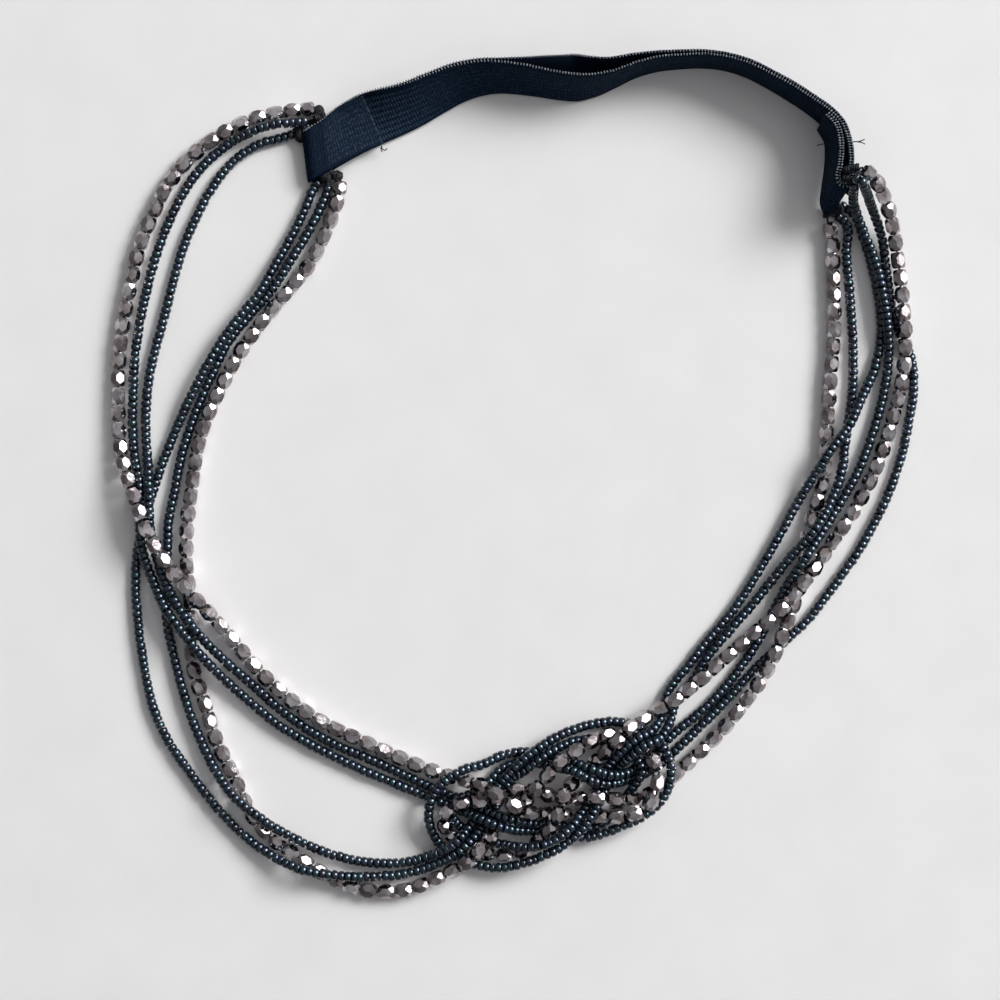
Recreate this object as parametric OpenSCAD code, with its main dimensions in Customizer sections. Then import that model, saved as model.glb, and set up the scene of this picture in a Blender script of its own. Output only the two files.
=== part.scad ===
// Beaded headband, lying on a flat surface as it is put down.
// Two loops of three bead strands interlock in a flat double knot, and an elastic closes the ring.
// All sizes are in millimetres. +Z is up, +Y points to the elastic, and the surface is at z = 0.

/* [Strands] */
// Diameter of a faceted bead across its widest corners
facet_d = 3.5; // [3.2:0.1:3.7]
// Distance from one faceted bead to the next along the thread
facet_pitch = 4; // [3.9:0.1:4.3]
// Diameter of a strand of seed beads
seed_d = 2.1; // [1.9:0.1:2.3]
// Diameter of the bore through a faceted bead
bore_d = 1.1; // [0.9:0.1:1.4]
// Diameter of the thread
thread_d = 0.5; // [0.3:0.1:0.6]

/* [Elastic] */
// Width of the doubled elastic, from its lengthwise fold to its selvedges
elastic_w = 12; // [11:0.5:13]
// Thickness of one layer of the elastic
layer_t = 0.6; // [0.5:0.1:0.7]
// Height of the pocket that the threads run through at each end
pocket_h = 1.5; // [1.4:0.1:1.7]

/* [Knot] */
// Place of the middle of the knot, left or right
knot_x = 8.5; // [7.5:0.5:9.5]
// Place of the middle of the knot, towards the elastic or away from it
knot_y = -73.5; // [-74.5:0.5:-72.5]
// Height that a strand gains where it passes over another one
knot_rise = 3.4; // [3:0.1:3.8]

/* [Hidden] */
facet_r = facet_d / 2;
seed_r = seed_d / 2;
thread_r = thread_d / 2;
thread_sides = 6;
tube_sides = 8;

// Clear space that is kept between two strands
strand_gap = 0.18;
// Longest faceted bead, and the least space between two of them
facet_l = 3.7;
bead_gap = 0.12;
// Radius of a bead's flat end, which sets how far two beads on a bend stand apart
bead_end_r = 1.05;

// The elastic, from its left end to its right end. Columns: place of the lengthwise fold (x, y), its height
// above the surface, then the outward lean from upright of the inner layer and of the outer layer, in
// degrees, and how far the selvedges trail behind the fold
band_rows = [
    [-42.8, 68.1, 0.0, 88, 88,  4.4],
    [-36.0, 72.0, 0.0, 86, 86,  2.0],
    [-30.0, 75.0, 0.0, 76, 76,  0.5],
    [-25.5, 77.0, 0.0, 60, 60,  0.0],
    [-20.5, 79.5, 0.0, 48, 48,  0.0],
    [-15.5, 82.5, 0.0, 40, 40,  0.0],
    [-11.0, 85.0, 0.0, 34, 34,  0.0],
    [ -6.5, 86.5, 0.0, 29, 29,  0.0],
    [ -2.5, 87.0, 0.0, 25, 26,  0.0],
    [  2.0, 86.7, 0.0, 23, 29,  0.0],
    [  6.0, 86.2, 0.0, 21, 34,  0.0],
    [ 10.5, 85.5, 0.0, 20, 40,  0.0],
    [ 15.0, 85.2, 0.0, 19, 43,  0.0],
    [ 19.0, 86.2, 0.0, 15, 37,  0.0],
    [ 23.5, 88.3, 0.0,  9, 22,  0.0],
    [ 28.5, 90.8, 0.0,  6, 12,  0.0],
    [ 33.5, 92.2, 0.0,  5,  7,  0.0],
    [ 38.5, 92.8, 0.0,  4,  5,  0.0],
    [ 43.5, 93.0, 0.0,  4,  4,  0.0],
    [ 48.5, 92.5, 0.0,  3,  3,  0.0],
    [ 53.5, 91.0, 0.0,  3,  3,  0.0],
    [ 58.5, 88.5, 0.0,  3,  3,  0.0],
    [ 63.5, 85.5, 0.0,  4,  4,  0.0],
    [ 68.0, 82.5, 0.0,  4,  4, -0.4],
    [ 71.5, 79.5, 0.0,  5,  5, -1.1],
    [ 73.5, 76.0, 0.4,  6,  6, -1.8],
    [ 74.0, 72.0, 1.2,  7,  7, -2.5],
    [ 74.0, 68.0, 1.8,  8,  8, -3.2],
    [ 73.7, 64.0, 2.4,  9,  9, -3.9],
    [ 73.5, 60.5, 2.8, 10, 10, -4.6]
];
// Rows at each end that the folded-back tab covers
left_tab_rows = 3;
right_tab_rows = 6;
// Steps round each end's turn
turn_steps = 4;
// How much narrower the elastic is at its two ends, and one row in, where the threads draw it together
end_pinch = [1.6, 0.5];
// Space between the two layers where they lie together
slit = 0.1;
doubled_t = 2 * layer_t + slit;

// Routes of the strands between the elastic and the knot, by hand from how the real one lies. Each point is
// x, y and how far the strand lies above the surface there
left_facet_in = [
    [-40.3, 67.2, 0.1], [-41.5, 62, 0], [-42.5, 57.5, 0], [-44, 53.5, 0], [-48, 46, 0], [-53.5, 40, 0],
    [-58.5, 33.5, 0], [-63, 27, 0], [-67, 19.5, 0], [-70.5, 12, 0], [-72.5, 4.5, 0], [-73.5, -4, 0],
    [-74.5, -12, 0], [-74.5, -20, 0], [-73.5, -28, 0], [-72.5, -36, 0], [-72.5, -45, 0], [-70, -54, 0],
    [-68, -62, 0], [-64.5, -69.5, 0], [-61, -77, 0], [-55, -84.5, 0], [-47.5, -89.5, 0],
    [-40.5, -93.5, 0], [-33, -96, 0], [-25, -96, 0]
];
left_facet_out = [
    [-30, -64, 0], [-37.5, -60.5, 0], [-45.5, -56.5, 0], [-52, -51.5, 0], [-58, -46, 0], [-63.5, -39.5, 0],
    [-69, -33, 1], [-73.5, -28, 3.2], [-77, -23.5, 3], [-80, -19.5, 2.5], [-83.5, -12, 4], [-86, -5, 2.4],
    [-89, 3, 0.5], [-90, 10, 0], [-90.2, 18, 0], [-90, 27, 0], [-89, 35, 0], [-87.5, 42.5, 0],
    [-85.5, 51, 0], [-82.5, 58.5, 0], [-79, 65.5, 0], [-73.5, 72, 0], [-66.5, 77, 0], [-59.5, 80, 0],
    [-53.5, 81, 0], [-48.5, 81.1, 0], [-46, 81.8, 0.3]
];
left_outer_in = [
    [-42.3, 65, 0.4], [-43.8, 60.8, 0.8], [-46.9, 54.6, 1], [-50, 49.6, 1.6], [-52.6, 45.2, 1.4],
    [-55.5, 41, 0.6], [-58.2, 37.6, 0], [-60.8, 35, 0], [-65.6, 28.3, 0], [-69.2, 20.6, 0],
    [-73, 11.5, 0], [-75.5, 4, 0], [-77.3, -4, 0], [-79, -12, 0], [-79.5, -20, 0], [-79.5, -27, 0],
    [-79.5, -34, 0], [-77.5, -43, 0], [-74.5, -53.5, 0], [-71, -62, 0], [-66, -71, 0.8],
    [-61, -76.5, 3], [-55.5, -81, 1.2], [-50, -84.5, 0], [-42, -88, 0], [-31.5, -90, 0], [-23.5, -89.5, 0]
];
left_outer_out = [
    [-26, -72, 0], [-34.5, -68.5, 0], [-44, -64, 0], [-53.5, -58.5, 0], [-61.5, -52, 0], [-69.5, -44.5, 0.6],
    [-75, -37.5, 2.4], [-79.5, -31, 2.2], [-82.5, -24.5, 0.8], [-84.5, -17.5, 1.6], [-85, -11.5, 2],
    [-84.5, -5, 1.8], [-86, 2, 0.3], [-86.8, 10, 0], [-86.8, 18, 0], [-86.3, 28, 0], [-84.8, 37, 0],
    [-83, 45, 0], [-80.5, 53, 0], [-77, 61, 0], [-72, 69, 0], [-65, 75, 0.6], [-58.5, 78, 2.6],
    [-53, 79.4, 3.2], [-48.6, 79.3, 3.2], [-46.2, 80.3, 2.6]
];
left_inner_in = [
    [-44.6, 64.4, 0], [-46.2, 60.6, 0], [-49.2, 54.2, 0], [-52.2, 48.6, 0.2], [-55, 43.6, 1.2],
    [-57.4, 39.5, 1.9], [-60.7, 35.9, 2], [-66.4, 28.7, 2], [-69.4, 23.9, 2], [-71.4, 20.5, 1.9],
    [-74.3, 15.2, 1.2], [-78, 7.5, 0], [-81, 0, 0], [-83.5, -8, 0], [-85.5, -15, 0],
    [-86.5, -22, 0], [-86.3, -30, 0], [-85, -41.5, 0], [-83, -52, 0], [-80.5, -59, 0], [-75, -67.5, 0],
    [-68, -76.5, 0], [-61, -83.5, 0], [-53, -88.5, 1], [-45.5, -91.2, 3], [-37, -92.5, 1], [-25, -92, 0]
];
left_inner_out = [
    [-25, -69.5, 0], [-33, -66, 0], [-42.5, -61.8, 0], [-51, -56.5, 0], [-58.5, -50, 0], [-66.5, -42.8, 0.6],
    [-73, -35.5, 2.4], [-77.5, -28.5, 2.2], [-81, -20.5, 0.6], [-83, -12, 2], [-83.5, -5, 1.8],
    [-84, 2, 0.3], [-84.4, 10.5, 0], [-83, 24, 0], [-80.7, 32.5, 0], [-78.5, 40.5, 0], [-76.3, 49, 0],
    [-73.3, 56.5, 0], [-69.5, 64, 0], [-64, 71, 0], [-58.5, 74.8, 0], [-53.5, 76.6, 0], [-49.2, 77.5, 0],
    [-47.4, 78.8, 0.1]
];
right_facet_in = [
    [77, 65.9, 13.7], [78.6, 65, 13.2], [80.5, 63.6, 10.8], [83, 61.2, 7.4], [84.9, 58.4, 4.6],
    [86.2, 55, 2.6], [87.2, 50.5, 1.2], [88, 46, 0.8], [89, 38, 1.2], [89.7, 30, 2], [89.5, 21, 0.5],
    [87, 11, 0], [84.3, 3, 0], [80.5, -5, 0], [76, -12, 0], [71, -18.5, 0.8], [66.3, -25, 3],
    [61.5, -31.5, 2.4], [54.5, -38, 0.8], [48, -43.5, 0.8], [41.5, -49, 2], [35, -54, 2]
];
right_facet_out = [
    [40, -66, 0], [48, -59, 0.5], [53.5, -52.5, 1.2], [57.8, -46, 1.9], [60.5, -40.5, 1.9],
    [62.5, -34.5, 0.6], [65, -26.5, 0], [67, -17, 0], [69.5, -10, 0], [71, -3.5, 0], [71.5, 4, 0],
    [72.3, 13, 0], [73, 22, 0], [73.8, 30, 0], [74, 37, 0], [74, 45, 0], [74.3, 52, 0],
    [74.2, 56.5, 0], [73.4, 58.6, -0.2]
];
right_outer_in = [
    [76.2, 57.5, 0], [76.5, 50, 0], [77.3, 41, 0], [78, 32, 0], [78.3, 23, 0], [77.8, 14.5, 0],
    [76.5, 6, 0], [75, -3, 0], [72, -9.5, 0.8], [68.5, -14.5, 3], [63.5, -20.5, 0.8], [58.5, -27, 0],
    [53.5, -33, 0], [48.5, -38.5, 0], [44, -44, 0], [40.5, -50, 0], [36, -56, 0]
];
right_outer_out = [
    [37, -60.5, 0], [41.5, -57, 0], [47.5, -51.5, 0], [52, -46, 0], [55.5, -41, 0], [58.5, -36, 0],
    [61, -31, 0], [64.5, -25, 1], [67.5, -19.5, 3], [70.5, -14.5, 1.2], [75, -7, 0], [79.5, 1, 0],
    [82.5, 9, 0], [85, 18, 0], [86, 26, 0.8], [85.3, 35, 2], [84, 43.5, 2], [81.5, 52, 2],
    [79.2, 57.3, 3.2], [78, 60, 4.8], [77.5, 61.5, 7], [77.3, 62.7, 9.6], [77.1, 63.4, 11.8], [76, 64.2, 13]
];
right_inner_in = [
    [77.5, 59, 0.3], [80.5, 53, 0], [83.3, 44, 0], [84.7, 36, 0], [84.8, 29, 0], [83.5, 23.5, 0],
    [80.7, 17.5, 0.8], [77.5, 10.5, 2], [72, 3, 3.2], [68.5, -3, 0.8], [65.5, -8, 0], [61.5, -15, 0],
    [57, -22.5, 0], [51.5, -31, 0], [46.5, -37, 0], [42, -42.5, 0], [38.5, -47.5, 0], [34.5, -53.5, 0]
];
right_inner_out = [
    [38.5, -63, 0], [43, -58.5, 0], [48, -53.5, 0], [54, -47, 0], [59, -41.5, 0], [63.5, -38, 0],
    [68, -33.5, 0], [73.5, -26.5, 0], [79, -19, 0], [84.3, -9.5, 0], [88.3, 0, 0], [90.7, 10, 0],
    [92, 19, 0], [91.5, 26, 0], [88.5, 33, 0], [87, 39, 0.2], [86, 46, 0.6], [85, 52, 1], [83.5, 57, 2.2],
    [80.7, 61, 5.4], [79.2, 62.8, 8.4], [78.4, 63.4, 11.2], [77.4, 64, 13.2]
];

// Middle of each loop's three strands through the knot, about the knot's own middle: the left loop from the
// lower left, and the right loop the same way but turned half round. Columns: x, y, 1 where the strands pass
// over and 0 where they pass under, 1 where the faceted strand runs between the two others, how much farther
// in it runs, and 1 where the two others lie over it instead of beside it
left_knot_rows = [
    [-25.3, -16.4, 0.3, 0, 0, 0], [-18.9, -12, 1, 0, 0, 0], [-15.4, -8.2, 0.5, 0, 0, 0],
    [-11.5, -4.1, 0, 0, 0, 0], [-6.9, 1.2, 0.5, 0, 0, 0], [-1.6, 6.4, 1, 0, 0, 0], [5.8, 10.8, 0.6, 0, 0, 0],
    [16.1, 12.4, 0, 0.5, 0, 0], [21.9, 9.6, 0.5, 1, 0, 0], [24.2, 5.2, 1, 1, 0, 0],
    [22.8, 1.5, 0.8, 1, 0, 0], [19.5, -1.5, 0.7, 0.6, 0, 0], [14.7, -3.8, 0.5, 0.1, 0, 0],
    [8.7, -5.9, 0.2, 0, 0, 0], [2.8, -6, 0, 0, 0, 0], [-4.6, -5.6, 0.6, 0, 0.5, 0],
    [-11.5, -4.1, 1, 0, 0, 0],
    [-16.6, -2.3, 0.5, 0, 0, 0], [-21.9, -0.2, 0, 0, 0, 0], [-27.6, 2, 0, 0, 0, 0]
];
right_knot_rows = [
    [-25.3, -16.4, 0.3, 0, 0, 0], [-18.9, -12, 1, 0, 0, 0], [-15.4, -8.2, 0.5, 0, 0, 0],
    [-12.2, -3.9, 0, 0, 0, 0], [-8.8, 0.9, 0.5, 0, 0, 0], [-5.4, 5, 1, 0, 0, 0],
    [-1.8, 9, 0.7, 0.5, 0, 0.5], [5.1, 12.8, 0.3, 1, 0, 1], [14.8, 13.4, 0, 1, 0, 0.6],
    [21.9, 10.2, 0.5, 1, 0, 0], [24.1, 5.2, 1, 1, 0, 0], [22.4, 1.9, 0.8, 1, 0, 0],
    [18.7, 0, 0.7, 0.7, 0.4, 0], [13.2, -2.2, 0.4, 0.4, 1.6, 0], [8.4, -4.8, 0, 0, 3, 0],
    [2.4, -4.8, 0, 0, 4, 0], [-4.6, -2.9, 0.5, 0, 1.8, 0], [-11.5, -0.8, 1, 0, 0, 0],
    [-16.8, -1, 0.5, 0, 0, 0], [-22.3, -3, 0, 0, 0, 0]
];
// Sideways place of the outer seed strand, the inner seed strand and the faceted strand, to the right of the
// middle: first side by side with the faceted one last, then with the faceted one between the others
lane_step = seed_d + strand_gap;
facet_step = facet_r + seed_r + strand_gap;
lanes_apart = [-1.3 * lane_step, -0.3 * lane_step, facet_step - 0.3 * lane_step];
lanes_split = [-facet_step, facet_step, 0];
// How much nearer and higher the two seed strands are where they lie over the faceted one
nest_share = 0.45;
nest_rise = 2.2;

function limit(v) = max(0, min(1, v));
function total(list) = [for (v = list) 1] * list;
function unit(v) = v / norm(v);
function flat(p) = [p.x, p.y];
function right_of(d) = [d.y, -d.x];
function backwards(list) = [for (k = [len(list) - 1 : -1 : 0]) list[k]];

// One station of the elastic: the fold, the tips of its inner and its outer layer, the direction to its
// inner side and the direction along it
function band_along(k) =
    let (last = len(band_rows) - 1, from = band_rows[max(0, k - 1)], to = band_rows[min(last, k + 1)])
    unit([to.x - from.x, to.y - from.y, 0]);
function lean_way(out, lean) = out * sin(lean) + [0, 0, cos(lean)];
function band_station(k) =
    let (
        row = band_rows[k], along = band_along(k), out = [-along.y, along.x, 0],
        from_end = min(k, len(band_rows) - 1 - k), width = elastic_w - (from_end < 2 ? end_pinch[from_end] : 0),
        fold = [row.x, row.y, row.z + doubled_t / 2 * sin(row[4])],
        drag = along * row[5], side = [0, 0, 1] * sin(row[3]) - out * cos(row[3])
    )
    [fold, fold + width * lean_way(out, row[3]) + drag, fold + width * lean_way(out, row[4]) + drag,
        side, along];
// The same station moved to its inner side, with its inner side turned
function moved(s, by, side) = [s[0] + by, s[1] + by, s[2] + by, side, s[4]];
// The turn at one end: the station there swings round the pocket, towards the end's own direction
function turn(s, way) =
    let (half = (doubled_t + pocket_h) / 2)
    [for (k = [1 : turn_steps - 1]) let (a = 180 * k / turn_steps)
        moved(s, s[3] * half * (1 - cos(a)) + way * half * sin(a), s[3] * cos(a) - way * sin(a))];
// The tab: stations on the inner side, closing down from the pocket to the sewn edge
function tab(first, step, count) =
    [for (k = [0 : count - 1])
        let (s = band_station(first + step * k), open = pocket_h * pow(cos(90 * k / (count - 1)), 2))
        moved(s, s[3] * (doubled_t + slit + open * (pocket_h - slit) / pocket_h), -s[3])];
band_last = len(band_rows) - 1;
left_end = band_station(0);
right_end = band_station(band_last);
band_stations = concat(
    backwards(tab(0, 1, left_tab_rows)), backwards(turn(left_end, -left_end[4])),
    [for (k = [0 : band_last]) band_station(k)],
    turn(right_end, right_end[4]), tab(band_last, -1, right_tab_rows)
);

// The way through an end's pocket, from the selvedges down to the fold: its place there and here among three
// side by side, and how far it lies above the middle of the pocket
pocket_reach = 1.1;
pocket_steps = 6;
thread_step = 0.7;
outer_place = -0.2;
function pocket_middle(s) = s[0] + s[3] * (doubled_t + pocket_h) / 2;
function pocket(s, way, high, low, above) =
    [for (k = [0 : pocket_steps])
        let (t = k / pocket_steps)
        pocket_middle(s) + s[3] * above
        + (s[1] - s[0]) * (1 - t) + unit(s[1] - s[0]) * pocket_reach * (1 - 2 * t)
        - way * (outer_place + thread_step * (high * (1 - t) + low * t))];
function left_pocket(place) = pocket(left_end, -left_end[4], place, place, 0);
function right_pocket(high, low, above) = pocket(right_end, right_end[4], high, low, above);
function right_pocket_up() = backwards(right_pocket(2, 0.45, 0.3));
// Whether a point is in a pocket or within a spare distance of it
pocket_r = 1.8;
side_spare = 0.6;
function near_pocket(p, s, way, spare) =
    let (up = unit(s[1] - s[0]), v = p - pocket_middle(s) + way * thread_step, rise = v * up)
    rise > -spare && rise < norm(s[1] - s[0]) + spare && norm(v - up * rise) < pocket_r + side_spare * spare;
function in_pocket(p, spare) =
    near_pocket(p, left_end, -left_end[4], spare) || near_pocket(p, right_end, right_end[4], spare);

// The strands through the knot, in lane 0, 1 or 2, for the left loop or, turned half round, the right one
function knot_lane(lane, r, half_turn) =
    let (rows = half_turn ? right_knot_rows : left_knot_rows, turned = half_turn ? -1 : 1)
    [for (k = [0 : len(rows) - 1])
        let (
            row = rows[k], from = rows[max(0, k - 1)], to = rows[min(len(rows) - 1, k + 1)],
            side = right_of(unit(flat(to) - flat(from))),
            place = lanes_apart[lane] * (1 - row[3]) + lanes_split[lane] * row[3],
            over = lane == 2 ? 0 : row[5],
            p = turned * (flat(row) + side * (place * (1 - over * nest_share) + (lane == 2 ? row[4] : 0)))
        )
        [knot_x + p.x, knot_y + p.y, r + row.z * knot_rise + over * nest_rise]];
function raised(route, r) = [for (p = route) [p.x, p.y, r + p.z]];
function loop(before, lane, after, r, half_turn, pocket) =
    concat(raised(before, r), knot_lane(lane, r, half_turn), raised(after, r), pocket);

// A smooth closed curve through the points, then points along it at the pitch that each place asks for
curve_steps = 6;
function heading(a, b, c) =
    let (before = norm(b - a), after = norm(c - b))
    ((b - a) / before * after + (c - b) / after * before) / (before + after);
function on_curve(p, k, t) =
    let (
        n = len(p), a = p[(k + n - 1) % n], b = p[k], c = p[(k + 1) % n], d = p[(k + 2) % n],
        span = norm(c - b)
    )
    b * (2 * pow(t, 3) - 3 * pow(t, 2) + 1) + c * (3 * pow(t, 2) - 2 * pow(t, 3))
    + heading(a, b, c) * span * (pow(t, 3) - 2 * pow(t, 2) + t)
    + heading(b, c, d) * span * (pow(t, 3) - pow(t, 2));
// Half sizes of the knot
knot_half = [30, 19];
function in_knot(p) = abs(p.x - knot_x) < knot_half.x && abs(p.y - knot_y) < knot_half.y;
// Within these distances of a pocket a faceted strand and a seed strand are bare thread
facet_spare = 0.9;
seed_spare = 2;
// Distances between the points of a strand: near a pocket, in the knot, and on the open loops
pocket_pitch = 1.8;
knot_pitch = 4.2;
open_pitch = 7.4;
near_spare = 4;
function seed_pitch(p) = in_pocket(p, near_spare) ? pocket_pitch : in_knot(p) ? knot_pitch : open_pitch;
function facet_step_at(p) = in_pocket(p, facet_spare) ? pocket_pitch : facet_pitch;
function pitch_at(p, faceted) = faceted ? facet_step_at(p) : seed_pitch(p);
function spaced(points, faceted) =
    let (
        fine = [for (k = [0 : len(points) - 1], t = [0 : curve_steps - 1])
            on_curve(points, k, t / curve_steps)],
        n = len(fine),
        way = [for (
            k = 0, w = 0; k <= n;
            w = w + norm(fine[(k + 1) % n] - fine[k % n]) / pitch_at(fine[k % n], faceted),
            k = k + 1
        ) w],
        count = round(way[n]),
        tables = [for (axis = [0 : 2]) [for (k = [0 : n]) [way[k], fine[k % n][axis]]]]
    )
    [for (j = [0 : count - 1]) [for (table = tables) lookup(j * way[n] / count, table)]];

// The six strands as they are drawn, before they are laid clear of each other
drawn = [
    spaced(loop(left_facet_in, 2, left_facet_out, facet_r, false, left_pocket(2)), true),
    spaced(loop(right_facet_in, 2, right_facet_out, facet_r, true, right_pocket_up()), true),
    spaced(loop(left_outer_in, 0, left_outer_out, seed_r, false, left_pocket(1)), false),
    spaced(loop(left_inner_in, 1, left_inner_out, seed_r, false, left_pocket(0)), false),
    spaced(loop(right_outer_in, 0, right_outer_out, seed_r, true, right_pocket(0, 1, -0.3)), false),
    spaced(loop(right_inner_in, 1, right_inner_out, seed_r, true, right_pocket(1, 2, -0.3)), false)
];

// All points in one list, with each point's next and last one, its strand and its radius
starts = [for (k = 0, s = 0; k <= len(drawn); s = s + (k < len(drawn) ? len(drawn[k]) : 0), k = k + 1) s];
all_drawn = [for (strand = drawn) each strand];
next_of = [for (s = [0 : len(drawn) - 1], k = [0 : len(drawn[s]) - 1]) starts[s] + (k + 1) % len(drawn[s])];
last_of = [for (s = [0 : len(drawn) - 1], k = [0 : len(drawn[s]) - 1])
    starts[s] + (k + len(drawn[s]) - 1) % len(drawn[s])];
strand_of = [for (s = [0 : len(drawn) - 1], k = [0 : len(drawn[s]) - 1]) s];
// Points of bare thread, which stay where they are drawn
bare = [for (k = [0 : len(all_drawn) - 1])
    in_pocket(all_drawn[k], strand_of[k] < 2 ? facet_spare : seed_spare)];
radius_of = [for (k = [0 : len(all_drawn) - 1]) bare[k] ? thread_r : strand_of[k] < 2 ? facet_r : seed_r];
// Radius of the piece from each point to the next one. A faceted bead needs two points that aren't bare
piece_r = [for (k = [0 : len(all_drawn) - 1])
    let (a = radius_of[k], b = radius_of[next_of[k]]) strand_of[k] < 2 ? min(a, b) : max(a, b)];
reach_of = [for (k = [0 : len(all_drawn) - 1]) norm(all_drawn[next_of[k]] - all_drawn[k]) / 2 + piece_r[k]];
middles = [for (k = [0 : len(all_drawn) - 1]) (all_drawn[k] + all_drawn[next_of[k]]) / 2];
function apart(j, k) = strand_of[j] != strand_of[k]
    || min(abs(j - k), len(drawn[strand_of[j]]) - abs(j - k)) > 4;
// The pieces of strand that lie near each piece
spare_reach = 1.5;
neighbours = [for (k = [0 : len(all_drawn) - 1])
    [for (j = [0 : len(all_drawn) - 1])
        if (norm(middles[k] - middles[j]) < reach_of[k] + reach_of[j] + spare_reach && apart(j, k)) j]];

// How far the piece from p along u must move from the piece from q along v: its share at the nearest point
function push(p, u, q, v, clear) =
    let (
        w = p - q, a = u * u, b = u * v, c = v * v, d = u * w, e = v * w, area = a * c - b * b,
        s0 = area > 0.01 ? limit((b * e - c * d) / area) : 0.5,
        t = limit((b * s0 + e) / c), s = limit((b * t - d) / a),
        away = w + u * s - v * t, far = norm(away)
    )
    far < clear && far > 0.001 ? [s, away * (clear - far) / 2 / far] : [s, [0, 0, 0]];
none = [0, [0, 0, 0]];
function pushes(p) =
    [for (k = [0 : len(p) - 1])
        let (u = p[next_of[k]] - p[k])
        concat([none], [for (j = neighbours[k])
            push(p[k], u, p[j], p[next_of[j]] - p[j], piece_r[k] + piece_r[j] + strand_gap)])];
// One pass moves every point by what presses on it, spreads each move a little to the points beside it, and
// keeps the strands on the surface
function laid_once(p, spread) =
    let (
        force = pushes(p),
        move = [for (k = [0 : len(p) - 1]) bare[k] ? [0, 0, 0] :
            p[k] - all_drawn[k]
            + total([for (f = force[k]) f[1] * (1 - f[0])])
            + total([for (f = force[last_of[k]]) f[1] * f[0]])]
    )
    [for (k = [0 : len(p) - 1]) bare[k] ? p[k] :
        let (q = all_drawn[k] + move[k] * (1 - 2 * spread) + (move[last_of[k]] + move[next_of[k]]) * spread)
        [q.x, q.y, max(q.z, radius_of[k])]];
function laid(p, passes, spread) = passes == 0 ? p : laid(laid_once(p, spread), passes - 1, spread);
all_laid = laid(laid(all_drawn, 34, 0.12), 24, 0.02);
// Shift that brings the middle of the whole headband to the origin
to_middle = [-0.59, 1.85, 0];
strands = [for (s = [0 : len(drawn) - 1]) [for (k = [starts[s] : starts[s + 1] - 1]) all_laid[k] + to_middle]];

// A round closed tube through the points, thin where it is bare thread
module tube(s, r, sides) {
    points = strands[s];
    n = len(points);
    rings = [for (k = [0 : n - 1])
        let (
            along = unit(points[(k + 1) % n] - points[(k + n - 1) % n]),
            side = unit(cross(along, [0, 0, 1])), up = cross(side, along),
            ring_r = bare[starts[s] + k] ? thread_r : r
        )
        [for (j = [0 : sides - 1])
            points[k] + ring_r * (side * cos(360 * j / sides) + up * sin(360 * j / sides))]];
    walls = [for (k = [0 : n - 1], j = [0 : sides - 1])
        let (
            a = k * sides + j, b = k * sides + (j + 1) % sides,
            c = (k + 1) % n * sides + (j + 1) % sides, d = (k + 1) % n * sides + j
        )
        each [[a, b, c], [a, c, d]]];
    polyhedron([for (ring = rings) each ring], walls);
}

// A barrel with six flat sides, cut at both ends by six slanting facets, and drilled for the thread
bead_sides = 6;
bore_sides = 16;
module facet_bead(length) {
    difference() {
        intersection() {
            cylinder(h = length, r = facet_r, center = true, $fn = bead_sides);
            intersection_for (k = [0 : bead_sides / 2 - 1])
                rotate([0, 0, 360 / bead_sides * k]) rotate([90, 0, 0])
                    linear_extrude(2 * facet_d, center = true) polygon(end_cut(length));
        }
        cylinder(h = 2 * length, d = bore_d, center = true, $fn = bore_sides);
    }
}
// Outline of the bead seen from the side: flat at its ends, slanting to its widest stretch, which is this
// share of its length from its middle. The cut just misses the widest corners there
wide_share = 0.16;
cut_spare = 1.01;
function end_cut(length) =
    let (end_z = length / 2, wide_z = length * wide_share, wide_r = facet_r * cut_spare)
    [[-bead_end_r, -end_z], [bead_end_r, -end_z], [wide_r, -wide_z], [wide_r, wide_z],
        [bead_end_r, end_z], [-bead_end_r, end_z], [-wide_r, wide_z], [-wide_r, -wide_z]];

module facet_beads(s, seed) {
    points = strands[s];
    n = len(points);
    spins = rands(0, 360 / bead_sides, n, seed);
    for (k = [0 : n - 1]) {
        a = points[k];
        b = points[(k + 1) % n];
        if (piece_r[starts[s] + k] == facet_r) {
            along = unit(b - a);
            before = bead_end_r * tan(bend(points, k) / 2);
            after = bead_end_r * tan(bend(points, k + 1) / 2);
            room = norm(b - a) - before - after - bead_gap;
            translate((a + b) / 2 + along * (before - after) / 2)
                rotate([0, acos(along.z), atan2(along.y, along.x)])
                    rotate([0, 0, spins[k]]) facet_bead(min(facet_l, room));
        }
    }
}
// Turn of the thread at one of its points
function bend(points, k) =
    let (n = len(points), a = points[(k + n - 1) % n], b = points[k % n], c = points[(k + 1) % n])
    acos(min(1, unit(b - a) * unit(c - b)));

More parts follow.
